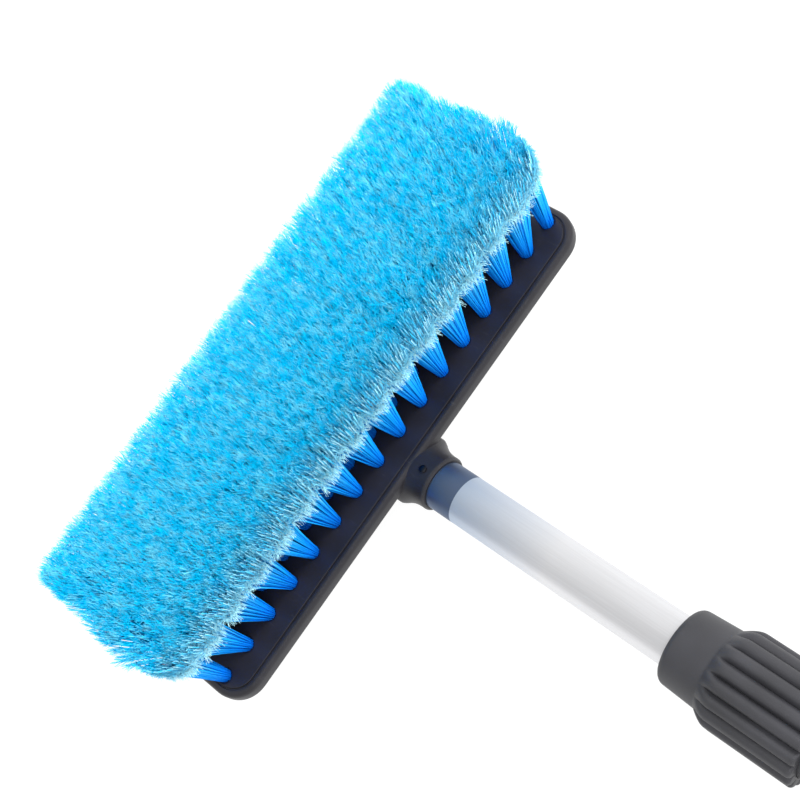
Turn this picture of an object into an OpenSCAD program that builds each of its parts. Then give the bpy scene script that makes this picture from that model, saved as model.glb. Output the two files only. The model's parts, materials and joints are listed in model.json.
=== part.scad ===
// Snow brush and ice scraper with a telescopic handle.
// Frame: +X runs from the brush head to the scraper, +Y along the head, +Z the way the
// bristles point. The origin is the middle of the flat land on the head's back, which
// the tool rests on. All sizes are in millimetres.

/* [Head] */
// Length of the brush block, across the handle
block_l = 249; // [180:1:320]
// Width of the brush block, along the handle
block_w = 75; // [64:1:100]
// Radius of the block's corners seen from above
block_corner_r = 14; // [8:1:20]
// Thickness of the block's rim
rim_t = 7; // [5:0.5:10]
// Length of the flat land on the block's back
land_l = 120; // [80:1:160]
// Width of the flat land on the block's back
land_w = 34; // [28:1:48]
// Depth of the handle's axis below the block's face
axis_drop = 13; // [13:0.5:20]

/* [Bristles] */
// Distance between the rows of tufts
row_pitch = 11; // [8:0.5:14]
// Distance between the tufts of one row
tuft_pitch = 15.6; // [13:0.1:20]
// Least distance from a tuft's centre to the block's end
tuft_margin = 7; // [6:0.5:20]
// Free length of the bristles above the block's face
bristle_l = 60; // [40:1:80]
// Radius of a tuft where it leaves the block
tuft_root_r = 3; // [2:0.1:3.4]
// Air between neighbouring tufts at their tips
tuft_tip_gap = 1.2; // [0.6:0.1:4]
// How far the outer rows' tips stand outside their roots, along the handle
flare_x = 10; // [4:1:24]
// How far the end tufts' tips stand outside their roots, along the head
flare_y = 3; // [1:1:16]
// Depth of a tuft's hole
hole_depth = 9; // [7:0.5:10]
// Width of the flat wire that staples a tuft
anchor_w = 4.6; // [3:0.1:5]
// Height of the staple
anchor_h = 1.2; // [0.8:0.1:1.6]
// Thickness of the staple
anchor_t = 0.5; // [0.3:0.1:0.8]

/* [Socket] */
// How far the socket stands out of the block
socket_reach = 10.5; // [8:0.5:30]
// Wall of the socket at its mouth
socket_wall = 1.5; // [1:0.1:1.9]
// Plastic between the nearest tuft holes and the tube's end
seat_wall = 1.9; // [1.5:0.1:4]
// Width of the web where the socket meets the block
web_w = 38; // [32:1:60]
// Distance from the socket's mouth to its rivet
rivet_back = 5.5; // [4:0.5:8]
// Radius of the rivet's shank
rivet_r = 1.5; // [1:0.1:2]

/* [Tubes] */
// Outside radius of the inner tube
inner_r = 11; // [9.5:0.1:13]
// Length of the inner tube
inner_l = 420; // [360:1:500]
// Wall of both tubes
tube_wall = 1.2; // [0.9:0.1:1.6]
// Air between the inner tube and the outer tube
tube_air = 0.5; // [0.4:0.05:0.9]
// Length of inner tube that shows between the socket and the collar
shown_l = 122; // [112:1:140]
// Length of the outer tube
outer_l = 428; // [400:1:480]

/* [Twist lock] */
// Outside radius of the collar's ribs
collar_r = 21; // [20:0.5:26]
// Depth of the grooves between the ribs
rib_depth = 1.8; // [1:0.1:2.2]
// Number of ribs round the collar
rib_count = 18; // [10:1:24]
// Length of the collar's smooth nose
nose_l = 18; // [18:1:30]
// Outside radius of the nose behind its rounded rim
nose_r = 17.2; // [16.8:0.1:18.6]
// Rounding of the nose's rim
nose_round = 3; // [1.5:0.5:4]
// Length of the ribbed part
ribbed_l = 44; // [36:1:60]
// Thickness of the nose's front wall
nose_wall = 6; // [4:0.5:8]
// Length of the split collet
collet_l = 14; // [10:0.5:16]
// Wall of the collet
collet_wall = 3.1; // [2:0.1:3.2]
// Wall of the threaded sleeve
sleeve_wall = 3.2; // [2.5:0.1:3.4]
// Length of the sleeve that shows behind the collar
sleeve_tail_l = 14; // [10:1:20]

/* [Handle] */
// Bare outer tube between the sleeve and the grip
bare_l = 170; // [120:1:200]
// Length of the foam grip
grip_l = 150; // [110:1:170]
// Outside radius of the foam grip
grip_r = 16.5; // [15:0.5:19]
// Length of each grip ring
ring_l = 9; // [6:0.5:12]
// Length of outer tube inside the scraper's holder
holder_grip_l = 38; // [30:1:45]

/* [Scraper] */
// Outside radius of the holder's round end
holder_r = 15.5; // [15:0.5:18]
// Length of the holder from the tube's end to its front edge
holder_l = 52; // [44:1:64]
// Width of the holder's front edge
holder_w = 78; // [70:1:96]
// Thickness of the holder's front edge
holder_t = 12; // [11:0.5:14]
// Width of the blade's edge
blade_w = 106; // [96:1:130]
// Length of the blade in front of the holder
blade_l = 62; // [50:1:90]
// Thickness of the blade
blade_t = 3.2; // [2.4:0.1:3.6]
// How deep the blade sits in the holder
blade_seat = 24; // [20:1:26]
// Length of the blade's ground bevel
bevel_l = 9; // [5:1:14]
// Radius of the hole that hangs the tool on a peg
hang_r = 4.5; // [3:0.5:6]
// Distance between the blade's two screws
screw_gap = 44; // [36:1:52]
// Radius of the screws' shanks
screw_r = 2; // [1.5:0.1:2.4]

/* [Hidden] */
$fn = 64;

// Clearances
fixed_gap = 0.05;     // round parts pressed or pinned together
slide_gap = 0.05;     // running fits, on the radius
free_gap = 0.3;       // parts of different bodies that pass each other
floor_gap = 0.5;      // under the collar when the tool lies on its back
tuft_gap = 0.1;       // tuft in its hole, on the radius
cut = 1;              // overshoot of a cutting shape
hull_fn = 32;         // segments of round shapes inside a hull

// Heights
axis_z = collar_r + floor_gap;
face_z = axis_z + axis_drop;

// Rows of tufts
row_count = 5;
tufts_in_row = floor((block_l - 2 * tuft_margin) / tuft_pitch) + 1;
outer_row_x = row_pitch * (row_count - 1) / 2;
outer_tuft_y = tuft_pitch * (tufts_in_row - 1) / 2;
tip_pitch_x = row_pitch + 2 * flare_x / (row_count - 1);
tip_pitch_y = tuft_pitch * (1 + flare_y / outer_tuft_y);
tuft_tip_r = (min(tip_pitch_x, tip_pitch_y) - tuft_tip_gap) / 2;
hole_r = tuft_root_r + tuft_gap;
anchor_gap = 0.1;     // free space left over a staple

// Back of the block
step_inset = 3.5;
step_t = 6;
land_corner_r = 8;

// Inner tube and socket
tube_start_x = outer_row_x + hole_r + seat_wall;
mouth_x = block_w / 2 + socket_reach;
mouth_r = inner_r + fixed_gap + socket_wall;
socket_root_r = axis_drop;
web_t = 9;
rivet_x = mouth_x - rivet_back;
rivet_head_r = 2.4;
rivet_head_t = 0.9;
rivet_bulb_t = 1.6;
inner_bore_r = inner_r - tube_wall;
inner_end_x = tube_start_x + inner_l;
bush_plug_l = 22;
bush_flange_l = 8;

// Twist lock
collar_x = mouth_x + shown_l;
ribbed_x = collar_x + nose_l;
collar_end_x = ribbed_x + ribbed_l;
outer_bore_r = inner_r + tube_air;
outer_r = outer_bore_r + tube_wall;
collet_x = collar_x + nose_wall + free_gap;
collet_bore_r = inner_r + slide_gap;
collet_r = collet_bore_r + collet_wall;
collet_slot_w = 1.4;
collet_slots = 6;
sleeve_x = collet_x + collet_l + free_gap;
sleeve_stop_l = 6;
sleeve_bore_r = outer_r + fixed_gap;
sleeve_r = sleeve_bore_r + sleeve_wall;
sleeve_end_x = collar_end_x + sleeve_tail_l;
collar_bore_r = sleeve_r + slide_gap;
rib_start_l = 4;
pin_r = 1.5;
pin_head_r = 2.6;
pin_head_t = 0.8;

// Outer tube, grip and holder
outer_x = sleeve_x + sleeve_stop_l;
outer_end_x = outer_x + outer_l;
grip_front_x = sleeve_end_x + bare_l;
grip_x = grip_front_x + ring_l;
grip_rear_x = grip_x + grip_l;
holder_x = outer_end_x - holder_grip_l;
ring_front_r = grip_r + 1;
ring_rear_r = axis_z;
holder_front_x = outer_end_x + holder_l;
holder_pin_r = 2;
holder_stop_l = 6;

// Blade and its screws
blade_x = holder_front_x - blade_seat;
blade_end_x = holder_front_x + blade_l;
blade_root_w = screw_gap + 20;
screw_x = holder_front_x - blade_seat / 2;
screw_head_r = 3.6;
screw_head_t = 2.2;
nut_r = 3.9;
nut_t = 2.6;
hang_x = holder_front_x + blade_l * 0.42;

// A slab with rounded corners that lies flat, l along Y and w along X
module plate(l, w, r, t) {
    linear_extrude(t) offset(r) square([w - 2 * r, l - 2 * r], center = true);
}

// A solid round bar along +X from x0 to x1, at the height of the handle's axis
module bar(x0, x1, r) {
    translate([x0, 0, axis_z]) rotate([0, 90, 0]) cylinder(h = x1 - x0, r = r);
}

// A pipe along +X from x0 to x1
module pipe(x0, x1, r, bore) {
    difference() {
        bar(x0, x1, r);
        bar(x0 - cut, x1 + cut, bore);
    }
}

// A revolved outline [along X, radius] about the handle's axis, starting at x0
module turned(x0, outline) {
    translate([x0, 0, axis_z]) rotate([0, 90, 0])
        rotate_extrude() polygon([for (p = outline) [p[1], p[0]]]);
}

// Row i has its tufts half a step aside when i is even, so it holds one fewer
function row_x(i) = (i - (row_count + 1) / 2) * row_pitch;
function row_tufts(i) = tufts_in_row - (i % 2 == 0 ? 1 : 0);
function tuft_y(i, j) = (j - (row_tufts(i) - 1) / 2) * tuft_pitch;

// The lean of the tuft rooted at x, y: how far its tip stands from above its root
function lean(x, y) = [flare_x * x / outer_row_x, flare_y * y / outer_tuft_y];

// Puts a child that is built along +Z at the root of tuft j in row i, along its lean
module at_tuft(i, j) {
    x = row_x(i);
    y = tuft_y(i, j);
    d = lean(x, y);
    translate([x, y, face_z])
        rotate([-atan2(d[1], bristle_l), atan2(d[0], norm([d[1], bristle_l])), 0]) children();
}

module tuft_row(i) {
    bottom = hole_depth - anchor_h - anchor_gap;
    color("dodgerblue") for (j = [0 : row_tufts(i) - 1]) at_tuft(i, j)
        rotate_extrude()
            polygon([[0, -bottom], [tuft_root_r, -bottom], [tuft_root_r, 0],
                [tuft_tip_r, bristle_l], [0, bristle_l]]);
}

module tuft_anchors() {
    color("silver") for (i = [1 : row_count], j = [0 : row_tufts(i) - 1]) at_tuft(i, j)
        translate([-anchor_w / 2, -anchor_t / 2, -hole_depth])
            cube([anchor_w, anchor_t, anchor_h]);
}

module brush_block() {
    color("#26252b") difference() {
        union() {
            translate([0, 0, face_z - rim_t]) plate(block_l, block_w, block_corner_r, rim_t);
            block_back();
            socket();
        }
        bar(tube_start_x, mouth_x + cut, inner_r + fixed_gap);
        for (i = [1 : row_count], j = [0 : row_tufts(i) - 1]) at_tuft(i, j)
            translate([0, 0, -hole_depth]) cylinder(h = hole_depth + 3 * cut, r = hole_r, $fn = 32);
        translate([rivet_x, 0, axis_z]) cylinder(h = collar_r, r = rivet_r + fixed_gap);
    }
}

// The deep back of the block: a straight step, then sides that narrow to the flat land
module block_back() {
    step_z = face_z - rim_t - step_t;
    step_l = block_l - 2 * step_inset;
    step_w = block_w - 2 * step_inset;
    step_r = block_corner_r - step_inset;
    translate([0, 0, step_z]) plate(step_l, step_w, step_r, step_t + 1);
    hull() {
        translate([0, 0, step_z]) plate(step_l - 1, step_w - 1, step_r, 1, $fn = hull_fn);
        plate(land_l, land_w, land_corner_r, 1, $fn = hull_fn);
    }
}

// The socket that takes the tube, a slow cone, with a flat web that spreads into the block
module socket() {
    root_x = tube_start_x - seat_wall;
    web_x = block_w / 2 - 1;
    translate([root_x, 0, axis_z]) rotate([0, 90, 0])
        cylinder(h = mouth_x - root_x, r1 = socket_root_r - 0.1, r2 = mouth_r);
    translate([0, 0, axis_z - web_t / 2]) linear_extrude(web_t)
        polygon([[web_x, -web_w / 2], [mouth_x - 3, 3 - mouth_r], [mouth_x - 3, mouth_r - 3],
            [web_x, web_w / 2]]);
}

module socket_rivet() {
    head_z = axis_z + mouth_r + 0.4;
    inside_z = axis_z + inner_bore_r - 0.6;
    color("dimgray") translate([rivet_x, 0, 0]) {
        translate([0, 0, head_z]) cylinder(h = rivet_head_t, r = rivet_head_r);
        translate([0, 0, inside_z - rivet_bulb_t]) cylinder(h = rivet_bulb_t, r = rivet_head_r);
        translate([0, 0, inside_z - rivet_bulb_t])
            cylinder(h = head_z - inside_z + 2 * rivet_bulb_t - 1, r = rivet_r);
    }
}

module inner_tube() {
    color("whitesmoke") difference() {
        pipe(tube_start_x, inner_end_x, inner_r, inner_bore_r);
        translate([rivet_x, 0, axis_z]) cylinder(h = collar_r, r = rivet_r + fixed_gap);
    }
}

// The bush on the inner tube's end, which runs in the outer tube
module rear_bush() {
    flange_r = outer_bore_r - slide_gap;
    plug_r = inner_bore_r - fixed_gap;
    groove = 1.4;
    start_x = inner_end_x - bush_plug_l;
    color("white") difference() {
        union() {
            bar(start_x, inner_end_x, plug_r);
            bar(inner_end_x, inner_end_x + bush_flange_l, flange_r);
        }
        bar(start_x - cut, inner_end_x + bush_flange_l + cut, plug_r - 3);
        difference() {
            bar(inner_end_x + 3, inner_end_x + 6, flange_r + cut);
            bar(inner_end_x + 2, inner_end_x + 7, flange_r - groove);
        }
    }
}

module bush_ring() {
    color("black") pipe(inner_end_x + 3.1, inner_end_x + 5.9, outer_bore_r - slide_gap,
        outer_bore_r - slide_gap - 1.3);
}

module lock_collet() {
    color("ivory") difference() {
        pipe(collet_x, collet_x + collet_l, collet_r, collet_bore_r);
        for (k = [0 : collet_slots - 1])
            translate([collet_x - cut, 0, axis_z]) rotate([k * 360 / collet_slots, 0, 0])
                translate([0, -collet_slot_w / 2, 0])
                    cube([collet_l * 0.7 + cut, collet_slot_w, collet_r + cut]);
    }
}

module lock_collar() {
    root_r = collar_r - rib_depth;
    groove_r = 1.9;
    color("#3c3c40") difference() {
        union() {
            turned(collar_x, [[0, 0], [0, nose_r - nose_round - 0.8],
                [nose_round * 0.3, nose_r - nose_round * 0.3 - 0.8], [nose_round, nose_r - 0.8],
                [nose_l + cut, nose_r], [nose_l + cut, 0]]);
            turned(ribbed_x, [[0, 0], [0, nose_r], [rib_start_l, collar_r],
                [ribbed_l - 1.5, collar_r], [ribbed_l, collar_r - 1.5], [ribbed_l, 0]]);
        }
        for (k = [0 : rib_count - 1])
            translate([ribbed_x + 2, 0, axis_z]) rotate([(k + 0.5) * 360 / rib_count, 0, 0])
                translate([0, 0, root_r + groove_r]) rotate([0, 90, 0])
                    cylinder(h = ribbed_l + cut, r = groove_r, $fn = 24);
        bar(collar_x - cut, collar_end_x + cut, inner_r + 2 * free_gap);
        bar(collet_x - free_gap, sleeve_x, collet_r + free_gap);
        bar(sleeve_x - free_gap, collar_end_x + cut, collar_bore_r);
    }
}

module threaded_sleeve() {
    color("#303034") difference() {
        bar(sleeve_x, sleeve_end_x, sleeve_r);
        bar(sleeve_x - cut, outer_x + cut, outer_bore_r);
        bar(outer_x, sleeve_end_x + cut, sleeve_bore_r);
        at_sleeve_pins() cylinder(h = collar_r, r = pin_r + fixed_gap);
    }
}

// The two pins that fix the sleeve to the outer tube, above and below the axis
module at_sleeve_pins() {
    for (s = [0, 180])
        translate([sleeve_end_x - 5, 0, axis_z]) rotate([s, 0, 0]) children();
}

module sleeve_pins() {
    color("silver") at_sleeve_pins() {
        translate([0, 0, outer_bore_r + 0.1]) cylinder(h = sleeve_r - outer_bore_r, r = pin_r);
        translate([0, 0, sleeve_r]) cylinder(h = pin_head_t, r = pin_head_r);
    }
}

module outer_tube() {
    color("lightgray") difference() {
        pipe(outer_x, outer_end_x, outer_r, outer_bore_r);
        at_sleeve_pins() cylinder(h = collar_r, r = pin_r + fixed_gap);
        at_holder_pin() cylinder(h = 4 * holder_r, r = holder_pin_r + fixed_gap, center = true);
    }
}

// The cross pin that fixes the holder to the tube
module at_holder_pin() {
    translate([holder_x + holder_grip_l / 2, 0, axis_z]) rotate([90, 0, 0]) children();
}

module grip_front_ring() {
    edge = 2;
    color("#2a2a2d") difference() {
        turned(grip_front_x, [[0, 0], [0, ring_front_r - edge], [edge, ring_front_r],
            [ring_l, ring_front_r], [ring_l, 0]]);
        bar(grip_front_x - cut, grip_x + cut, outer_r + fixed_gap);
    }
}

module grip_sleeve() {
    color("#1c1c1e") pipe(grip_x, grip_rear_x, grip_r, outer_r + fixed_gap);
}

module grip_rear_ring() {
    edge = 2;
    color("#2a2a2d") difference() {
        turned(grip_rear_x, [[0, 0], [0, ring_rear_r - edge], [edge, ring_rear_r],
            [ring_l - edge, ring_rear_r], [ring_l, ring_rear_r - edge], [ring_l, 0]]);
        bar(grip_rear_x - cut, grip_rear_x + ring_l + cut, outer_r + fixed_gap);
    }
}

// The holder: a round socket on the tube that spreads into a flat jaw for the blade
module scraper_holder() {
    neck_x = outer_end_x + holder_stop_l;
    color("#303034") difference() {
        union() {
            bar(holder_x, neck_x, holder_r);
            hull() {
                bar(neck_x - 1, neck_x, holder_r, $fn = hull_fn);
                translate([holder_front_x - 18, -holder_w / 2, axis_z - holder_t / 2])
                    cube([18, holder_w, holder_t]);
            }
        }
        bar(holder_x - cut, outer_end_x, outer_r + fixed_gap);
        translate([blade_x, -holder_w / 2 - cut, axis_z - blade_t / 2 - fixed_gap])
            cube([blade_seat + cut, holder_w + 2 * cut, blade_t + 2 * fixed_gap]);
        at_holder_pin() cylinder(h = 4 * holder_r, r = holder_pin_r + fixed_gap, center = true);
        at_screws() {
            cylinder(h = 4 * holder_t, r = screw_r + fixed_gap, center = true);
            translate([0, 0, holder_t / 2 - screw_head_t]) cylinder(h = holder_t, r = screw_head_r + 0.2);
            translate([0, 0, nut_t - holder_t / 2 - holder_t])
                cylinder(h = holder_t, r = nut_r + 0.2, $fn = 6);
        }
    }
}

module holder_pin() {
    color("silver") at_holder_pin()
        cylinder(h = 2 * holder_r - 1, r = holder_pin_r, center = true);
}

module at_screws() {
    for (s = [-1, 1]) translate([screw_x, s * screw_gap / 2, axis_z]) children();
}

// The blade: a straight root in the holder's jaw and a fan with a bevelled edge
module scraper_blade() {
    edge_t = 0.8;
    color("#4aa3e8") difference() {
        translate([0, 0, axis_z - blade_t / 2]) linear_extrude(blade_t)
            polygon([[blade_x, -blade_root_w / 2], [holder_front_x, -blade_root_w / 2],
                [holder_front_x + 8, -holder_w / 2], [blade_end_x - 10, -blade_w / 2],
                [blade_end_x, -blade_w / 2 + 3], [blade_end_x, blade_w / 2 - 3],
                [blade_end_x - 10, blade_w / 2], [holder_front_x + 8, holder_w / 2],
                [holder_front_x, blade_root_w / 2], [blade_x, blade_root_w / 2]]);
        translate([0, blade_w, axis_z]) rotate([90, 0, 0]) linear_extrude(2 * blade_w)
            polygon([[blade_end_x - bevel_l, blade_t / 2], [blade_end_x + cut, edge_t - blade_t / 2],
                [blade_end_x + cut, blade_t]]);
        at_screws() cylinder(h = 2 * blade_t, r = screw_r + fixed_gap, center = true);
        translate([hang_x, 0, axis_z]) cylinder(h = 2 * blade_t, r = hang_r, center = true);
    }
}

module blade_screws() {
    color("silver") at_screws() {
        translate([0, 0, holder_t / 2 - screw_head_t]) cylinder(h = screw_head_t - 0.2, r = screw_head_r);
        translate([0, 0, 0.4 - holder_t / 2]) cylinder(h = holder_t - 1, r = screw_r);
    }
}

module blade_nuts() {
    color("gray") at_screws() difference() {
        translate([0, 0, 0.2 - holder_t / 2]) cylinder(h = nut_t - 0.2, r = nut_r, $fn = 6);
        cylinder(h = 2 * holder_t, r = screw_r + fixed_gap, center = true);
    }
}

brush_block();
tuft_row(1);  // tuft_row_1
tuft_row(2);  // tuft_row_2
tuft_row(3);  // tuft_row_3
tuft_row(4);  // tuft_row_4
tuft_row(5);  // tuft_row_5
tuft_anchors();
inner_tube();
socket_rivet();
rear_bush();
bush_ring();
lock_collet();
lock_collar();
threaded_sleeve();
sleeve_pins();
outer_tube();
grip_front_ring();
grip_sleeve();
grip_rear_ring();
scraper_holder();
holder_pin();
scraper_blade();
blade_screws();
blade_nuts();
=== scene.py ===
# %% [markdown]
# # A snow brush with a telescopic handle and an ice scraper
# A wide brush head stands on its back with its bristles up. A drawn aluminium tube runs from
# its socket through a ribbed twist lock into a thicker tube, which carries a foam grip and an
# ice scraper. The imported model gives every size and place, so this file only makes the looks:
# each piece is modelled where its plain solid lies and rides on the same body.

# %% Load the fixed frame
import json
import math
import random

import bmesh
import bpy
from mathutils import Matrix, Quaternion, Vector


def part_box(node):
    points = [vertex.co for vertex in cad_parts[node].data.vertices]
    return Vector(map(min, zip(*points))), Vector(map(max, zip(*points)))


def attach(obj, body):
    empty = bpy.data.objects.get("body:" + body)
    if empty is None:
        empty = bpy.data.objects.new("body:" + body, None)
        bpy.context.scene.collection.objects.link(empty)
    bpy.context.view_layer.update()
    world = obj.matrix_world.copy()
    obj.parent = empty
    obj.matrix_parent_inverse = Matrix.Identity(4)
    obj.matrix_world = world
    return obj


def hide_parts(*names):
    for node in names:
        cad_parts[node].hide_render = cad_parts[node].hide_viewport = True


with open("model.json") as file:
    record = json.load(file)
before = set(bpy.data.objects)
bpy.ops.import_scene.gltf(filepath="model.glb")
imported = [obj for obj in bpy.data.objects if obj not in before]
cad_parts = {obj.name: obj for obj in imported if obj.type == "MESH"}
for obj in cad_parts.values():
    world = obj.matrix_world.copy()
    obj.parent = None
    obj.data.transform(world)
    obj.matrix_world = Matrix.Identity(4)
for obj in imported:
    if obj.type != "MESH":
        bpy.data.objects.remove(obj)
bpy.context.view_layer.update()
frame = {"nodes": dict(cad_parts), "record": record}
mm = 0.001

# %% [markdown]
# ## The places that everything else is measured from
# A node's box tells where its solid lies at rest. The handle's axis is the middle height of the
# inner tube, and the face of the block is the top of its solid. Reading these once keeps the
# looks in step with the design when a size changes.

# %% Read the main places from the frame
def measured(node):
    """The two ends of a node's box, and its half height, which is a round part's radius."""
    low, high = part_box(node)
    return low, high, (high.z - low.z) / 2


block_low, block_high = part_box("brush_block")
tube_low, tube_high, tube_r = measured("inner_tube")
axis_z = (tube_low.z + tube_high.z) / 2
face_z = block_high.z
mouth_x = block_high.x
block_half_x = -block_low.x
block_half_y = block_high.y
print("axis height mm", round(axis_z / mm, 2), "face height mm", round(face_z / mm, 2))

body_of_node = {
    node: body for body, nodes in frame["record"]["behaviour"]["bodies"].items() for node in nodes
}


# %% [markdown]
# ## Camera
# The head is seen from above its handle side, at about 58 degrees above the floor, with the
# camera rolled so that the head climbs to the right and the handle runs down to the right.
# The aim comes first and the roll is then one turn about the line of sight.

# %% Make the camera
camera = bpy.data.objects.new("camera", bpy.data.cameras.new("camera"))
bpy.context.scene.collection.objects.link(camera)
camera.data.lens = 67.49
camera.location = Vector((349.1, -28.7, 574.3)) * mm
aim = Vector((23.6, 17.6, 50.0)) * mm
roll = math.radians(-47.65)
level_look = (aim - camera.location).to_track_quat("-Z", "Y")
camera.rotation_mode = "QUATERNION"
camera.rotation_quaternion = level_look @ Quaternion((0, 0, 1), roll)
camera.data.clip_start = 0.01
bpy.context.scene.camera = camera
print("camera looks down", round(math.degrees(math.asin((camera.location - aim).normalized().z))), "degrees")

# %% [markdown]
# ## Lamps
# A catalogue table: one large soft lamp beyond the far end of the head lights each tuft from one
# side, and a second one high above the handle brings up the tips. Neither is mirrored in the
# finishes, as behind a light tent, so metal shows only the white walls. The plain colour
# transform keeps the bristles as saturated as their pigment.

# %% Make the lamps
head_middle = Vector((0, 0, face_z))


def softbox(name, spot, size, power):
    """A round soft lamp at a spot in metres, aimed at the middle of the head."""
    lamp = bpy.data.objects.new(name, bpy.data.lights.new(name, "AREA"))
    bpy.context.scene.collection.objects.link(lamp)
    lamp.data.shape = "DISK"
    lamp.data.size = size
    lamp.data.energy = power
    lamp.location = spot
    lamp.rotation_euler = (head_middle - Vector(spot)).to_track_quat("-Z", "Y").to_euler()
    lamp.visible_glossy = False
    print(name, power, "W,", size, "m across")


softbox("key_lamp", (0.45, 0.8, 0.75), 0.5, 15.0)
softbox("top_lamp", (0.7, -0.1, 1.15), 0.8, 16.5)
bpy.context.scene.view_settings.view_transform = "Standard"


# %% [markdown]
# ## Helpers for every finish and recipe
# Colours are written as they would be picked on a screen and turned to linear light by one
# function. One more function adds a node, sets it up and joins its inputs. The short ones after
# it name the kinds of node that come up again and again, in the materials here and in the
# growing recipes further down.


# %% Colour and node helpers
def srgb(code):
    """Linear light of a colour that is written as on a screen."""
    parts = [int(code[i : i + 2], 16) / 255 for i in (1, 3, 5)]
    return tuple(c / 12.92 if c <= 0.04045 else ((c + 0.055) / 1.055) ** 2.4 for c in parts) + (1,)


def first_output(source):
    """A node stands for its first output in use, and a socket for itself."""
    return next(s for s in source.outputs if s.enabled) if isinstance(source, bpy.types.Node) else source


def add(tree, kind, inputs=(), **settings):
    """A new node. inputs is a list or a dict of values, nodes or sockets; nodes give their first output."""
    node = tree.nodes.new(kind)
    for name, value in settings.items():
        setattr(node, name, value)
    pairs = inputs.items() if isinstance(inputs, dict) else enumerate(inputs)
    for key, value in pairs:
        if isinstance(value, (bpy.types.Node, bpy.types.NodeSocket)):
            tree.links.new(first_output(value), node.inputs[key])
        else:
            node.inputs[key].default_value = value
    return node


def join(tree, source, node, socket):
    """Joins a node or a socket to a named input."""
    tree.links.new(first_output(source), node.inputs[socket])


def calc(tree, operation, *values):
    """One step of arithmetic."""
    return add(tree, "ShaderNodeMath", values, operation=operation)


def vector_calc(tree, operation, *values):
    """One step of arithmetic on vectors."""
    return add(tree, "ShaderNodeVectorMath", values, operation=operation)


def scaled(tree, vector, factor):
    """A vector times a number."""
    return add(tree, "ShaderNodeVectorMath", {0: vector, "Scale": factor}, operation="SCALE")


def graded(tree, value, from_low, from_high, to_low=0.0, to_high=1.0, **settings):
    """A value whose range is turned into another range and held at its ends."""
    inputs = {"Value": value, 1: from_low, 2: from_high, 3: to_low, 4: to_high}
    return add(tree, "ShaderNodeMapRange", inputs, **settings)


def blend(tree, factor, first, second):
    """A mix of two colours."""
    return add(tree, "ShaderNodeMix", {"Factor": factor, 6: first, 7: second}, data_type="RGBA").outputs[2]


def new_material(name, **values):
    """A material with its shader's own sockets set, its tree, and Object coordinates."""
    material = bpy.data.materials.new(name)
    material.use_nodes = True
    tree = material.node_tree
    shader = tree.nodes["Principled BSDF"]
    for key, value in values.items():
        shader.inputs[key.replace("_", " ")].default_value = value
    place = add(tree, "ShaderNodeTexCoord").outputs["Object"]
    return material, tree, shader, place


def ramp(tree, source, *stops):
    """Colours or greys at positions from 0 to 1 along a value."""
    node = add(tree, "ShaderNodeValToRGB", [source])
    elements = node.color_ramp.elements
    while len(elements) < len(stops):
        elements.new(0.5)
    for element, (position, colour) in zip(elements, stops):
        element.position = position
        element.color = srgb(colour) if isinstance(colour, str) else (colour, colour, colour, 1)
    return node.outputs["Color"]


def grain(tree, place, size, detail=3.0, **inputs):
    """Noise whose blotches are about size across, in metres."""
    return add(tree, "ShaderNodeTexNoise", {"Vector": place, "Scale": 1 / size, "Detail": detail, **inputs})


def relief(tree, shader, height, depth, strength=1.0):
    """Raises the surface by height, times depth in metres."""
    bump = add(tree, "ShaderNodeBump", {"Height": height, "Distance": depth, "Strength": strength})
    join(tree, bump, shader, "Normal")


def two_toned(tree, shader, pattern, dark, light, low=0.3, high=0.7):
    """A base colour that goes from dark to light with a pattern."""
    join(tree, ramp(tree, pattern, (low, dark), (high, light)), shader, "Base Color")


# %% [markdown]
# ## White surroundings
# The walls of the studio are white, a little brighter beyond the far end of the head. That slope
# of light is what gives the bright tube and the dark collar a lit side and a shaded side.

# %% Make the surroundings
dim_side, bright_side = 0.76, 1.12
world = bpy.data.worlds.new("white_surroundings")
world.use_nodes = True
tree = world.node_tree
background = tree.nodes["Background"]
sky = add(tree, "ShaderNodeSeparateXYZ", [add(tree, "ShaderNodeTexCoord").outputs["Generated"]])
join(tree, graded(tree, sky.outputs["Y"], -0.8, 0.8, dim_side, bright_side), background, "Strength")
background.inputs["Color"].default_value = (1, 1, 1, 1)
bpy.context.scene.world = world
print("walls go from", dim_side, "to", bright_side)

# %% [markdown]
# ## The floor
# A plain pale floor, made as a light table: a sheet of opal acrylic lit from below. It is even
# and white at any distance from the lamps, and shadows hardly show on it.

# %% Make the floor
floor_half = 6.0
floor_mesh = bpy.data.meshes.new("floor")
floor_corners = [(x * floor_half, y * floor_half, 0) for x, y in ((-1, -1), (1, -1), (1, 1), (-1, 1))]
floor_mesh.from_pydata(floor_corners, [], [(0, 1, 2, 3)])
floor = bpy.data.objects.new("floor", floor_mesh)
bpy.context.scene.collection.objects.link(floor)
light_table, tree, shader, spot = new_material(
    "opal_acrylic_light_table", Base_Color=srgb("#5C5C5C"), Roughness=0.7
)
shader.inputs["Emission Color"].default_value = (1, 1, 1, 1)
shader.inputs["Emission Strength"].default_value = 0.92
relief(tree, shader, grain(tree, spot, 0.8 * mm), 0.02 * mm)
floor_mesh.materials.append(light_table)
print("floor is", 2 * floor_half, "m wide")

# %% [markdown]
# ## Moulded polypropylene and nylon
# The block and the scraper's holder are injection moulded in a charcoal polypropylene, and the
# lock in a slightly lighter nylon. The moulds are spark eroded, so the plastic has a fine grain
# that spreads its highlights into soft grey bands, and handling leaves faint pale scuffs.


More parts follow.
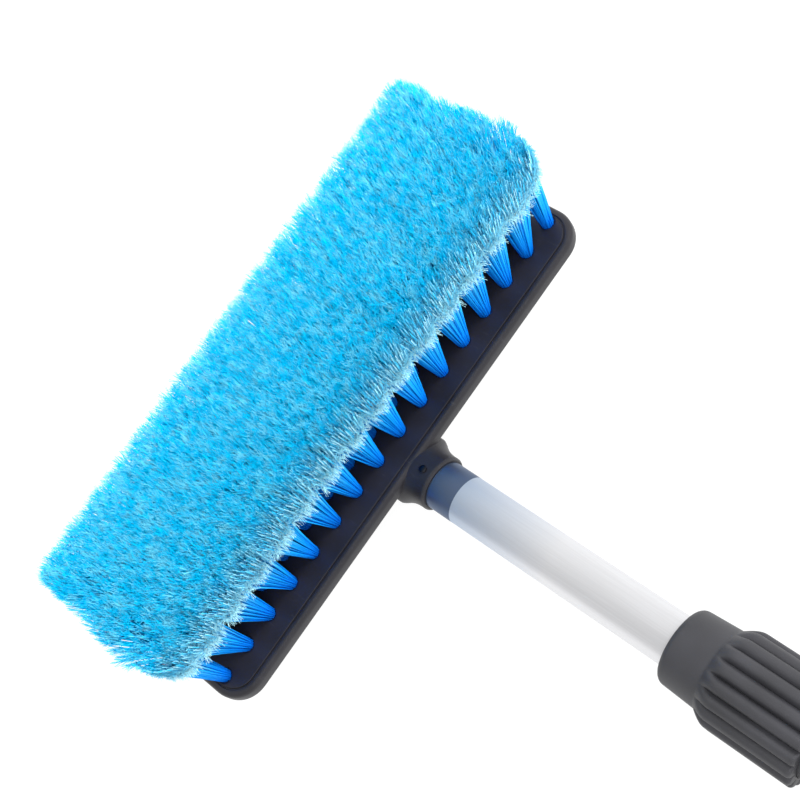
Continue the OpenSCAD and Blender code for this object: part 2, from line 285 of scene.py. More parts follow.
# %% Charcoal plastics
def charcoal(name, colour, pale, grain_size, roughness):
    """A dark plastic with clouds of tone, scuffs that run askew, and a moulded grain."""
    material, tree, shader, spot = new_material(name, Roughness=roughness, IOR=1.49)
    tone = grain(tree, spot, 18 * mm, 2.0)
    askew = add(tree, "ShaderNodeMapping", {"Vector": spot, "Rotation": (0, 0, 0.6), "Scale": (1, 7, 1)})
    scuff = ramp(tree, grain(tree, askew, 9 * mm, 6.0, Roughness=0.7), (0.60, 0.0), (0.74, 0.35))
    base = ramp(tree, tone, (0.3, colour), (0.75, pale))
    join(tree, blend(tree, scuff, base, srgb("#3E3E44")), shader, "Base Color")
    join(tree, graded(tree, tone, 0.0, 1.0, roughness - 0.06, roughness + 0.08), shader, "Roughness")
    relief(tree, shader, grain(tree, spot, grain_size, 4.0), 0.06 * mm)
    return material


block_plastic = charcoal("moulded_polypropylene_charcoal", "#17161A", "#1E1D22", 0.5 * mm, 0.42)
collar_plastic = charcoal("spark_eroded_nylon_grey", "#29292C", "#313135", 0.35 * mm, 0.5)
holder_plastic = charcoal("moulded_polypropylene_dark", "#1C1C1F", "#242428", 0.45 * mm, 0.45)
print("plastics", block_plastic.name, collar_plastic.name, holder_plastic.name)

# %% [markdown]
# ## Bristle
# The bristles are extruded polyester filaments, dyed a saturated blue, and their ends are
# flagged: split by beating into hairs far thinner than the filament. The colour runs from deep
# blue at the root through sky blue to a pale cyan at the tips. The deep blue at the root is
# painted shade, where the roots stand down in the bed, and the pale tips are partly the real
# paleness of split ends and partly painted light on the lit tips. The hairs carry how far along
# they are, a tone of their own and how frayed they are as attributes, and the material reads
# those three; the fray mark also paints the lit handle side paler, as painted light.


# %% Bristle material
def bristle_material(name):
    """Blue by the run along a hair, with painted shade at the root and painted light at the tips, mottled near
    the tips, and washed out where it is frayed and painted pale on the lit handle side.
    """
    material, tree, shader, spot = new_material(name, Roughness=0.7, IOR=1.57, Specular_IOR_Level=0.08)
    along, tone, fray = [
        add(tree, "ShaderNodeAttribute", attribute_name=key).outputs["Fac"]
        for key in ("along", "tone", "fray")
    ]
    # Deep blue at the root is painted shade; the pale tips are partly real split ends and partly painted light.
    dye_and_painted_light = ramp(
        tree, along, (0.0, "#0062D4"), (0.2, "#0086EE"), (0.5, "#00A6F8"), (0.8, "#00C4FC"), (1.0, "#04D2FA")
    )
    lift = calc(tree, "ADD", grain(tree, spot, 4.0 * mm, 5.0), calc(tree, "MULTIPLY", tone, 0.25))
    patches = graded(tree, lift, 0.58, 0.8, 0.0, 0.8)
    near_tip = graded(tree, along, 0.55, 0.95)
    mottled = blend(tree, calc(tree, "MULTIPLY", patches, near_tip), dye_and_painted_light, srgb("#8CE8F8"))
    # Frayed ends are painted pale cyan: partly real fraying, partly painted light on the lit handle side.
    join(tree, blend(tree, fray, mottled, srgb("#C8F4FC")), shader, "Base Color")
    return material


bristle_blue = bristle_material("flagged_polyester_bristle_blue")
print("bristle", bristle_blue.name)

# %% [markdown]
# ## Metals
# The tubes are drawn aluminium. Drawing pulls the metal through a ring, which leaves hair lines
# along the tube, and a thin matt lacquer makes it almost white. The first stretch by the socket
# is painted a dark blue grey, painted shade with a painted reflection of the blue head, and beside
# it a painted blue reflection of the head fades along the tube. Screws, nuts and pins are zinc
# plated steel, and the rivet is blackened steel.


# %% Aluminium and steel
def drawn_aluminium(name, colour, painted_band_end=None):
    """Lacquered metal, with a band of painted shade and painted reflection up to the band's end along x where
    that is given, and a painted blue reflection of the head fading beyond it.
    """
    material, tree, shader, spot = new_material(name, Metallic=1.0, Roughness=0.42)
    stretched = add(tree, "ShaderNodeMapping", {"Vector": spot, "Scale": (0.02, 1, 1)})
    lines = grain(tree, stretched, 0.5 * mm, 5.0)
    base = ramp(tree, lines, (0.3, colour), (0.7, "#E6E6E8"))
    rough = graded(tree, lines, 0.0, 1.0, 0.38, 0.46)
    if painted_band_end is not None:
        # Up to the band's end the tube is painted dark blue grey as painted shade with a painted reflection of
        # the blue head; past it a painted blue reflection of the head fades over 50 mm.
        x = add(tree, "ShaderNodeSeparateXYZ", [spot]).outputs["X"]
        beyond_painted_band = calc(tree, "GREATER_THAN", x, painted_band_end)
        painted_head_reflection = graded(tree, x, painted_band_end, painted_band_end + 50 * mm, 0.75, 0.0)
        base = blend(tree, beyond_painted_band, srgb("#5C6A82"), blend(tree, painted_head_reflection, base, srgb("#A4B6CC")))
        rough = add(tree, "ShaderNodeMix", {"Factor": beyond_painted_band, 2: 0.38, 3: rough}, data_type="FLOAT")
    join(tree, base, shader, "Base Color")
    join(tree, rough, shader, "Roughness")
    relief(tree, shader, lines, 0.01 * mm, 0.5)
    return material


# The band by the socket that is painted dark as shade and a reflection of the head.
painted_band_l = 13 * mm
inner_aluminium = drawn_aluminium("drawn_aluminium_lacquered", "#DEDEE0", mouth_x + painted_band_l)
outer_aluminium = drawn_aluminium("drawn_aluminium_satin", "#D2D3D6")

zinc_steel, tree, shader, spot = new_material("zinc_plated_steel", Metallic=1.0)
flakes = add(tree, "ShaderNodeTexVoronoi", {"Vector": spot, "Scale": 1 / (1.2 * mm)})
two_toned(tree, shader, flakes.outputs["Color"], "#A9ABB0", "#C9CACD", 0.2, 0.8)
join(tree, graded(tree, grain(tree, spot, 0.6 * mm), 0.0, 1.0, 0.25, 0.45), shader, "Roughness")

black_steel, tree, shader, spot = new_material("black_oxide_steel", Metallic=1.0, Roughness=0.4)
two_toned(tree, shader, grain(tree, spot, 1.5 * mm), "#2A2A2E", "#44444A")
print("metals", inner_aluminium.name, outer_aluminium.name, zinc_steel.name, black_steel.name)

# %% [markdown]
# ## Soft and clear plastics
# The grip is closed-cell foam, with a skin of tiny open cells. The seal ring is rubber, the
# bushes are natural acetal, and the blade is clear polycarbonate tinted blue, with scratches
# along the way it is pushed.

# %% Foam, rubber, acetal and polycarbonate
grip_foam, tree, shader, spot = new_material("closed_cell_foam_black", Roughness=0.85)
cells = add(tree, "ShaderNodeTexVoronoi", {"Vector": spot, "Scale": 1 / (1.1 * mm)}).outputs["Distance"]
# The cells' pits are painted darker, as painted shade in them.
two_toned(tree, shader, cells, "#141416", "#26262A", 0.0, 0.5)
relief(tree, shader, cells, 0.25 * mm)

seal_rubber, tree, shader, spot = new_material("moulded_rubber_black", Roughness=0.6)
two_toned(tree, shader, grain(tree, spot, 2 * mm), "#121213", "#1C1C1E")

acetal, tree, shader, spot = new_material(
    "moulded_acetal_natural", Roughness=0.38, IOR=1.48, Subsurface_Weight=0.1
)
two_toned(tree, shader, grain(tree, spot, 6 * mm), "#DEDCD4", "#E8E6DF")
relief(tree, shader, grain(tree, spot, 0.4 * mm), 0.02 * mm)

blade_clear, tree, shader, spot = new_material(
    "clear_polycarbonate_blue", Roughness=0.15, IOR=1.58, Transmission_Weight=0.5
)
stretched = add(tree, "ShaderNodeMapping", {"Vector": spot, "Scale": (0.05, 1, 1)})
scratches = grain(tree, stretched, 0.7 * mm, 5.0)
two_toned(tree, shader, grain(tree, spot, 25 * mm), "#2E8FE0", "#48A6EE")
join(tree, graded(tree, scratches, 0.45, 0.7, 0.12, 0.4), shader, "Roughness")
relief(tree, shader, scratches, 0.01 * mm)
print("materials", len(bpy.data.materials))

# %% [markdown]
# ## Helpers that make and place a piece
# A piece is a list of points and faces, or a bmesh, turned into an object whose normals point
# outwards and whose shading breaks only at real edges. Placing it means two facts: the body it
# rides on and the nodes that it stands for.


# %% Mesh helpers
def shade(mesh, angle=35):
    """Smooth shading that breaks at edges sharper than an angle in degrees."""
    mesh.shade_smooth()
    mesh.set_sharp_from_angle(angle=math.radians(angle))


def piece_from(name, points, faces, angle=35):
    """An object from points and faces, with doubles merged and faces turned outwards."""
    mesh = bpy.data.meshes.new(name)
    mesh.from_pydata([tuple(p) for p in points], [], faces)
    work = bmesh.new()
    work.from_mesh(mesh)
    bmesh.ops.remove_doubles(work, verts=work.verts, dist=0.002 * mm)
    bmesh.ops.recalc_face_normals(work, faces=work.faces)
    work.to_mesh(mesh)
    work.free()
    shade(mesh, angle)
    piece = bpy.data.objects.new(name, mesh)
    bpy.context.scene.collection.objects.link(piece)
    return piece


def place(piece, material, slot, *nodes):
    """Gives a piece its finish, and lets it ride on its nodes' body and stand for them."""
    if not piece.data.materials:
        piece.data.materials.append(material)
    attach(piece, body_of_node[nodes[0]])
    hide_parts(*nodes)
    print(piece.name, "triangles", sum(len(p.vertices) - 2 for p in piece.data.polygons))


def rounded(corners, steps=5):
    """An outline from (x, y, radius) corners, with an arc of that radius at each corner."""
    outline = []
    for i, (x, y, radius) in enumerate(corners):
        here = Vector((x, y))
        to_last = (Vector(corners[i - 1][:2]) - here).normalized()
        to_next = (Vector(corners[(i + 1) % len(corners)][:2]) - here).normalized()
        if radius == 0:
            outline.append(here)
            continue
        half = to_last.angle(to_next) / 2
        reach = radius / math.tan(half)
        middle = here + (to_last + to_next).normalized() * radius / math.sin(half)
        start = here + to_last * reach - middle
        turn = math.pi - 2 * half
        sense = math.copysign(1, to_last.cross(to_next))
        for k in range(steps + 1):
            outline.append(middle + Matrix.Rotation(-sense * turn * k / steps, 2) @ start)
    return outline


def turned(name, corners, segments=96, steps=5):
    """A ring or pipe: a closed outline of (x, radius, rounding) turned about the handle's axis."""
    outline = rounded(corners, steps)
    points = []
    for k in range(segments):
        a = 2 * math.pi * k / segments
        points += [(p.x, p.y * math.sin(a), axis_z + p.y * math.cos(a)) for p in outline]
    n = len(outline)
    faces = [
        (k * n + i, k * n + (i + 1) % n, (k + 1) % segments * n + (i + 1) % n, (k + 1) % segments * n + i)
        for k in range(segments)
        for i in range(n)
    ]
    return piece_from(name, points, faces)


def loft(rings):
    """Points and faces of a closed skin over rings that have the same number of points."""
    n = len(rings[0])
    points = [p for ring in rings for p in ring]
    faces = [
        (j * n + i, j * n + (i + 1) % n, (j + 1) * n + (i + 1) % n, (j + 1) * n + i)
        for j in range(len(rings) - 1)
        for i in range(n)
    ]
    faces += [tuple(range(n)), tuple(range(len(points) - n, len(points)))]
    return points, faces


def take_result(piece):
    """Makes what a piece's modifiers show its plain mesh, and removes them."""
    result = bpy.data.meshes.new_from_object(piece.evaluated_get(bpy.context.evaluated_depsgraph_get()))
    piece.modifiers.clear()
    piece.data = result


def cut_by(piece, cutter, operation="DIFFERENCE"):
    """An exact boolean, applied at once, after which the cutter is gone."""
    modifier = piece.modifiers.new("boolean", "BOOLEAN")
    modifier.object = cutter
    modifier.operation = operation
    modifier.solver = "EXACT"
    take_result(piece)
    shade(piece.data)
    bpy.data.objects.remove(cutter)


# %% [markdown]
# ## Growing recipes
# A Geometry Nodes tree is built here once and used on several pieces. Its sizes are named
# inputs, set on the modifier by each socket's identifier. The result is taken as a plain mesh,
# and the modifier goes before the piece is placed.


# %% Recipe helpers
def new_recipe(name, **inputs):
    """A tree with Geometry in and out, and a named input for each float, integer or material."""
    tree = bpy.data.node_groups.new(name, "GeometryNodeTree")
    kinds = {float: "NodeSocketFloat", int: "NodeSocketInt", bpy.types.Material: "NodeSocketMaterial"}
    tree.interface.new_socket("Geometry", in_out="INPUT", socket_type="NodeSocketGeometry")
    for key, value in inputs.items():
        kind = kinds[type(value)]
        socket = tree.interface.new_socket(key.replace("_", " "), in_out="INPUT", socket_type=kind)
        socket.default_value = value
    tree.interface.new_socket("Geometry", in_out="OUTPUT", socket_type="NodeSocketGeometry")
    return tree, tree.nodes.new("NodeGroupInput").outputs


def end_recipe(tree, geometry, material):
    """Every recipe ends in plain geometry with its material."""
    real = add(tree, "GeometryNodeRealizeInstances", [geometry])
    finished = add(tree, "GeometryNodeSetMaterial", {"Geometry": real, "Material": material})
    tree.links.new(finished.outputs[0], tree.nodes.new("NodeGroupOutput").inputs[0])


def store(tree, geometry, name, value, kind="FLOAT_VECTOR"):
    """Keeps a value on every point under a name."""
    inputs = {"Geometry": geometry, "Name": name, "Value": value}
    return add(tree, "GeometryNodeStoreNamedAttribute", inputs, data_type=kind)


def stored(tree, name, kind="FLOAT_VECTOR"):
    """Reads a value that was kept under a name."""
    return add(tree, "GeometryNodeInputNamedAttribute", {"Name": name}, data_type=kind)


def random_number(tree, seed):
    """A number from 0 to 1 for every point."""
    return add(tree, "FunctionNodeRandomValue", {2: 0.0, 3: 1.0, "Seed": seed}, data_type="FLOAT").outputs[1]


def random_vector(tree, seed, low, high):
    """A vector between two corners for every point."""
    return add(tree, "FunctionNodeRandomValue", {0: low, 1: high, "Seed": seed}, data_type="FLOAT_VECTOR")


def grow(name, source, tree, **values):
    """Runs a recipe on a copy of a source mesh and returns the result as a plain piece."""
    piece = bpy.data.objects.new(name, source)
    bpy.context.scene.collection.objects.link(piece)
    modifier = piece.modifiers.new("recipe", "NODES")
    modifier.node_group = tree
    for item in tree.interface.items_tree:
        key = item.name.replace(" ", "_")
        if item.in_out == "INPUT" and key in values:
            modifier[item.identifier] = values[key]
    take_result(piece)
    return piece


# %% [markdown]
# ## The brush block
# The block is one moulding: a flat face with a rounded rim, a step under the rim, and a deep
# back that narrows to the land it rests on. It is lofted from rounded rectangles, each at its
# own inset and height. A shallow groove runs round the face just inside the rim.

# %% Rings of the block
rim_t = 7 * mm
step_inset = 3.5 * mm
step_t = 6 * mm
corner_r = 14 * mm
land_half = Vector((17, 60)) * mm


def block_ring(half_x, half_y, corner, z, side_steps=70, end_steps=14, corner_steps=14):
    """Points round a rounded rectangle, as many on every ring."""
    ring = []
    straight_x, straight_y = half_x - corner, half_y - corner
    for quarter, (sx, sy) in enumerate(((1, 1), (-1, 1), (-1, -1), (1, -1))):
        start = quarter * math.pi / 2
        middle = Vector((sx * straight_x, sy * straight_y))
        arc = [middle + Vector((math.cos(a), math.sin(a))) * corner
               for a in (start + math.pi / 2 * k / corner_steps for k in range(corner_steps + 1))]
        nx, ny = ((-1, 1), (-1, -1), (1, -1), (1, 1))[quarter]
        after = Vector((nx * straight_x, ny * straight_y)) + (arc[-1] - middle)
        steps = end_steps if quarter % 2 == 0 else side_steps
        ring += arc + [arc[-1].lerp(after, k / steps) for k in range(1, steps)]
    return [(p.x, p.y, z) for p in ring]


def inset_ring(inset, z):
    """The block's outline moved inwards, at a height."""
    return block_ring(block_half_x - inset, block_half_y - inset, max(corner_r - inset, 1 * mm), z)


def quarter_turn(steps):
    """Angles from 0 to a right angle."""
    return [math.pi / 2 * k / steps for k in range(steps + 1)]


rim_round = 2.4 * mm
under_round = 1.2 * mm
groove_in, groove_out, groove_deep = 3.9 * mm, 3.1 * mm, 0.8 * mm
edge_break = 0.2 * mm
under_z = face_z - rim_t
step_z = under_z - step_t
profile = [
    (12 * mm, face_z),
    (groove_in + edge_break, face_z),
    (groove_in, face_z - edge_break),
    (groove_in - 0.1 * mm, face_z - groove_deep),
    (groove_out + 0.1 * mm, face_z - groove_deep),
    (groove_out, face_z - edge_break),
    (groove_out - edge_break, face_z),
]
profile += [(rim_round * (1 - math.sin(a)), face_z - rim_round * (1 - math.cos(a))) for a in quarter_turn(6)]
profile += [
    (under_round * (1 - math.cos(a)), under_z + under_round * (1 - math.sin(a))) for a in quarter_turn(4)
]
profile += [(step_inset - 0.4 * mm, under_z), (step_inset, under_z - 0.4 * mm)]
profile += [(step_inset + 0.2 * mm, step_z + 1 * mm)]
rings = [inset_ring(inset, z) for inset, z in profile]

back_half_x = block_half_x - step_inset - 0.6 * mm
back_half_y = block_half_y - step_inset - 0.6 * mm
land_edge = 1.2 * mm
back_steps = 8
for k in range(1, back_steps + 1):
    s = k / back_steps
    half_x = back_half_x + (land_half.x - back_half_x) * s
    half_y = back_half_y + (land_half.y - back_half_y) * s
    rings.append(block_ring(half_x, half_y, (10.5 - 2.5 * s) * mm, step_z + (land_edge - step_z) * s))
rings += [block_ring(land_half.x - 0.4 * mm, land_half.y - 0.4 * mm, 7.6 * mm, 0.35 * mm)]
rings += [block_ring(land_half.x - 1.4 * mm, land_half.y - 1.4 * mm, 6.6 * mm, 0)]
block = piece_from("block_housing", *loft(rings))
print("block has", len(rings), "rings of", len(rings[0]), "points")

# %% [markdown]
# ## The socket
# The socket is round at its mouth and spreads sideways into the block in a slow curve, as a
# moulded part does where a load comes in. Its sections follow one rule: a width that grows
# towards the block with a power of the distance, while the height hardly changes.

# %% Socket body
mouth_r = tube_r + 1.55 * mm
root_x = 23.2 * mm
web_half = 16 * mm
web_power = 2.8
web_margin = 1.5 * mm
web_l = mouth_x - web_margin - (block_half_x - web_margin)
lip_start = 0.96
socket_stations = 24
socket_points = 72
socket_rings = []
for k in range(socket_stations + 1):
    s = k / socket_stations
    x = root_x + (mouth_x - root_x) * s
    spread = max(0.0, (mouth_x - web_margin - x) / web_l)
    wide = mouth_r + (web_half - mouth_r) * min(spread, 1.0) ** web_power
    lip = 0.7 * mm * max(0.0, (s - lip_start) / (1 - lip_start)) ** 2
    tall = mouth_r + 0.3 * mm * (1 - s)
    ring = []
    for i in range(socket_points):
        a = 2 * math.pi * i / socket_points
        side = math.copysign(abs(math.sin(a)) ** 0.95, math.sin(a))
        ring.append((x, (wide - lip) * side, axis_z + (tall - lip) * math.cos(a)))
    socket_rings.append(ring)
cut_by(block, piece_from("socket", *loft(socket_rings)), "UNION")
print("block with its socket has", len(block.data.polygons), "faces")

# %% [markdown]
# ## Tufts: where they stand and how they lean
# Five rows of tufts stand in round holes, with the pitches and the lean of the design. The rows
# lean apart and the end tufts lean outwards, which is why the brush is wider than its block.
# Every second row is shifted by half a step, so it has one tuft less.

# %% Lay out the tufts
row_names = sorted(name for name in frame["nodes"] if name.startswith("tuft_row"))
row_pitch = 11 * mm
tuft_pitch = 15.6 * mm
tufts_in_row = 16
bristle_l = 60 * mm
flare = Vector((10, 3)) * mm
hole_r = 3.1 * mm
outer_row_x = row_pitch * (len(row_names) - 1) / 2
row_low, row_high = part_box(row_names[0])
outer_tuft_y = tuft_pitch * (tufts_in_row - 1) / 2


def tufts_of(row):
    """Root and tip of every tuft in a row, counted from 0."""
    count = tufts_in_row - row % 2
    x = row * row_pitch - outer_row_x
    for j in range(count):
        y = (j - (count - 1) / 2) * tuft_pitch
        root = Vector((x, y, face_z))
        tip = root + Vector((flare.x * x / outer_row_x, flare.y * y / outer_tuft_y, bristle_l))
        yield root, tip


tuft_count = sum(1 for row in range(len(row_names)) for _ in tufts_of(row))
print("rows", len(row_names), "tufts", tuft_count, "first row mm", round((row_high.y - row_low.y) / mm))


# %% [markdown]
# ## Drilling the block
# Each tuft's hole leans as its tuft does and has a small chamfer. All holes, the socket's bore
# and the rivet's hole are one cutter, so the block is cut once.


# %% Cut the holes, the bore and the rivet hole
def drill(start, direction, depth, radius, chamfer=0.0, over=2 * mm, sides=20):
    """Points and faces of a round cutter that enters at start and goes depth along direction."""
    turn = direction.to_track_quat("Z", "Y")
    stations = [(depth, radius), (chamfer, radius), (-over, radius + chamfer + over * (chamfer > 0))]
    circle = [2 * math.pi * i / sides for i in range(sides)]
    return loft(
        [[start + turn @ Vector((r * math.cos(a), r * math.sin(a), z)) for a in circle] for z, r in stations]
    )


up, down, forward, back = Vector((0, 0, 1)), Vector((0, 0, -1)), Vector((1, 0, 0)), Vector((-1, 0, 0))
fit_gap = 0.05 * mm
rivet_x = mouth_x - 5.5 * mm
mouth = Vector((mouth_x, 0, axis_z))
rivet_top = Vector((rivet_x, 0, face_z + 1 * mm))
cutters = [
    drill(root, root - tip, 9 * mm, hole_r, 0.4 * mm)
    for row in range(len(row_names))
    for root, tip in tufts_of(row)
]
cutters.append(drill(mouth, back, mouth_x - tube_low.x, tube_r + fit_gap, sides=72))
cutters.append(drill(rivet_top, down, 10 * mm, 1.55 * mm))
points, faces = [], []
for part_points, part_faces in cutters:
    faces += [tuple(i + len(points) for i in face) for face in part_faces]
    points += part_points
cut_by(block, piece_from("holes", points, faces))
place(block, block_plastic, "block_plastic", "brush_block")

# %% [markdown]
# ## Where the filaments are rooted
# A tuft is a bundle of filaments folded over a staple. In the hole they stand in a round disc,
# and at the tips they spread until the tufts touch, which turns the disc into a soft-cornered
# square. A sunflower spiral fills the disc evenly. Tips on the outside of the head crowd against
# one even limit, which is rounded at the corners and swells a little at the head's two ends.
#
# Each filament is one point that carries three vectors for the recipes: its run from root to
# tip, the pull that opens it outwards, and how free its hairs are to spread each way. At an edge
# they are less free outwards and freer along the edge, which keeps the outline clean.

# %% Sizes of the planting
filaments_per_tuft = 104
golden_angle = math.pi * (3 - math.sqrt(5))
root_disc_r = 2.6 * mm
root_depth = 2 * mm
# A tuft's tips take a little more than half the step to the next tuft each way, so tufts mix.
tip_share = 0.54
tip_step = Vector((row_pitch + flare.x * row_pitch / outer_row_x, tuft_pitch * (1 + flare.y / outer_tuft_y)))
tip_half = tip_step * tip_share
# The even limit of the tips, how much further it lies on the far side, and its corners.
tip_limit = Vector((outer_row_x + flare.x + 8.5 * mm, outer_tuft_y + flare.y + 7.0 * mm))
far_side = 3.0 * mm
handle_corner_r, far_corner_r = 20 * mm, 6 * mm
# A swell of the limit at both ends of the head: how high, where and how wide it is.
bulge_h, bulge_x, bulge_w = 4 * mm, 15 * mm, 16 * mm
# Below 1, tips crowd towards the limit. The band is where hairs feel it.
edge_crowding = 0.7
edge_band = 9 * mm
# Outward pull on the handle side, on the far side and at the ends, and where the last starts.
handle_pull, far_pull, end_pull, end_pull_from = 0.45, 0.15, 0.35, 0.3
# How much the limit holds hairs back outwards, frees them along it, and holds them down.
held_out, freed_along, held_up = 0.8, 0.5, 0.7
print("tips reach mm", [round(c / mm, 1) for c in tip_limit])


# %% Plant a row
def corner_of_limit(spot):
    """How far a tip lies outside the rounded corner of the limit, as a vector."""
    r = handle_corner_r if spot.x > 0 else far_corner_r
    past = Vector((abs(spot.x) - tip_limit.x + r, abs(spot.y) - tip_limit.y + r))
    if min(past) <= 0 or past.length <= r:
        return Vector((0, 0))
    over = past * (1 - r / past.length)
    return Vector((math.copysign(over.x, spot.x), math.copysign(over.y, spot.y)))


def smoothstep(s):
    """A soft step from 0 to 1."""
    s = min(max(s, 0.0), 1.0)
    return s * s * (3 - 2 * s)


def plant_row(row):
    """A mesh of points, one for each filament of a row, with its run, its pull and its freedom."""
    chance = random.Random(40 + row)
    roots, runs, pulls, free = [], [], [], []
    for root, tip in tufts_of(row):
        spin = chance.uniform(0, 2 * math.pi)
        tuft_high = chance.gauss(0, 0.5) * mm
        edge_x = math.copysign(abs(root.x) > outer_row_x - mm, root.x)
        edge_y = math.copysign(abs(root.y) > outer_tuft_y - tuft_pitch * 0.6, root.y)
        bulge = bulge_h * math.exp(-(((tip.x - bulge_x) / bulge_w) ** 2))
        for k in range(filaments_per_tuft):
            r = math.sqrt((k + 0.5) / filaments_per_tuft)
            a = k * golden_angle + spin
            u, v = r * math.cos(a), r * math.sin(a)
            square = max(abs(math.cos(a)), abs(math.sin(a))) ** -0.75
            start = root + Vector((u * root_disc_r, v * root_disc_r, -root_depth))
            half_x, half_y = tip_half
            tip_u, tip_v = u * square, v * square
            if u * edge_x > 0:
                half_x = tip_limit.x + far_side * (edge_x < 0) - abs(tip.x)
                tip_u = math.copysign(abs(tip_u) ** edge_crowding, u)
            if v * edge_y > 0:
                half_y = tip_limit.y + bulge - abs(tip.y)
                tip_v = math.copysign(abs(tip_v) ** edge_crowding, v)
            end = tip + Vector((tip_u * half_x, tip_v * half_y, tuft_high))
            end += Vector((chance.gauss(0, 0.5), chance.gauss(0, 0.5), chance.uniform(-1.2, 0.3))) * mm
            over_corner = corner_of_limit(end)
            end.x -= over_corner.x
            end.y -= over_corner.y
            pull_x = handle_pull * (1 + u) if edge_x > 0 else -far_pull * max(0, u * edge_x)
            pull_y = end_pull * max(0, v * edge_y - end_pull_from) * edge_y
            by_x = smoothstep((abs(end.x) - tip_limit.x) / edge_band + 1)
            by_y = smoothstep((abs(end.y) - tip_limit.y) / edge_band + 1)
            free_x = 1 - held_out * by_x + freed_along * by_y
            free_y = 1 - held_out * by_y + freed_along * by_x
            roots.append(start)
            runs.append(end - start)
            pulls.append(Vector((pull_x, pull_y, 0)))
            free.append(Vector((free_x, free_y, 1 - held_up * max(by_x, by_y))))
    mesh = bpy.data.meshes.new("planting")
    mesh.from_pydata([tuple(p) for p in roots], [], [])
    for name, vectors in (("run", runs), ("pull", pulls), ("free", free)):
        layer = mesh.attributes.new(name, "FLOAT_VECTOR", "POINT")
        layer.data.foreach_set("vector", [c for v in vectors for c in v])
    return mesh


# %% [markdown]
# ## The filament recipe
# One filament is a three-sided tube along a curve of six points, from its root to its tip with a
# slight bow. It thins towards the end, where it splits. On the handle side, where the filaments
# are pulled outwards and seen from the side, their last part is also marked as frayed and painted
# pale, some of them more than others: partly real fraying and partly painted light on this lit
# side.


# %% Steps that both bristle recipes share
tone_seed, luck_seed = 11, 23


def rooted_and_toned(tree, points):
    """Every point keeps its own place, and a tone that is the same in both recipes."""
    rooted = store(tree, points, "root", add(tree, "GeometryNodeInputPosition"))
    return store(tree, rooted, "tone", random_number(tree, tone_seed), "FLOAT")


def strands_on(tree, points, count):
    """One curve of count points on every point, with the values of its point."""
    line = add(tree, "GeometryNodeCurvePrimitiveLine")
    strand = add(tree, "GeometryNodeResampleCurve", {"Curve": line, "Count": count})
    strands = add(tree, "GeometryNodeInstanceOnPoints", {"Points": points, "Instance": strand})
    return add(tree, "GeometryNodeRealizeInstances", [strands])


def outward_pull(tree):
    """How strongly a filament is pulled outwards from the head."""
    return vector_calc(tree, "LENGTH", stored(tree, "pull")).outputs["Value"]


def end_strands(tree, curves, spot, along, fray, thickness, finish):
    """Lays the curves out, marks them for the material and gives them a three-sided skin."""
    laid = add(tree, "GeometryNodeSetPosition", {"Geometry": curves, "Position": spot})
    # The fray mark also carries painted light: it paints the lit handle side paler.
    marked = store(tree, store(tree, laid, "along", along, "FLOAT"), "fray", fray, "FLOAT")
    profile = add(tree, "GeometryNodeCurvePrimitiveCircle", {"Resolution": 3, "Radius": 1.0})
    skin = {"Curve": marked, "Profile Curve": profile, "Scale": thickness, "Fill Caps": True}
    tubes = add(tree, "GeometryNodeCurveToMesh", skin)
    smooth = add(tree, "GeometryNodeSetShadeSmooth", {"Geometry": tubes, "Shade Smooth": True})
    end_recipe(tree, smooth, finish)


# %% Filament recipe
filament_recipe, given = new_recipe("filaments", Radius=0.42 * mm, Sway=0.4 * mm, Seed=3, Finish=bristle_blue)
tree = filament_recipe
shift = random_vector(tree, given["Seed"], (-1, -1, 0), (1, 1, 0))
curves = strands_on(tree, store(tree, rooted_and_toned(tree, given["Geometry"]), "shift", shift), 6)
along = add(tree, "GeometryNodeSplineParameter").outputs["Factor"]
on_line = vector_calc(tree, "ADD", stored(tree, "root"), scaled(tree, stored(tree, "run"), along))
bow = calc(tree, "SINE", calc(tree, "MULTIPLY", along, math.pi))
aside = scaled(tree, stored(tree, "shift"), calc(tree, "MULTIPLY", bow, given["Sway"]))
spot = vector_calc(tree, "ADD", on_line, aside)
# The handle side, where the ends are both frayed and painted pale as painted light.
worn_and_lit_side = graded(tree, outward_pull(tree), 0.3, 0.75)
late = graded(tree, along, 0.55, 0.88, interpolation_type="SMOOTHSTEP")
streaky = graded(tree, stored(tree, "tone", "FLOAT"), 0.25, 0.7, 0.1, 0.9)
fray = calc(tree, "MULTIPLY", calc(tree, "MULTIPLY", worn_and_lit_side, late), streaky)
thickness = calc(tree, "MULTIPLY", graded(tree, along, 0.6, 1.0, 1.0, 0.35), given["Radius"])
end_strands(tree, curves, spot, along, fray, thickness, given["Finish"])
print("filament recipe has", len(tree.nodes), "nodes")

# %% [markdown]
# ## The flagged ends
# Near its tip every filament splits into hairs. Each hair leaves its filament at its own height
# and spreads to a side of its own. On the handle side the hairs split off earlier, are pulled
# outwards and droop, and there they are painted the palest, partly for real fraying and partly
# as painted light where they are lit and seen from the side.

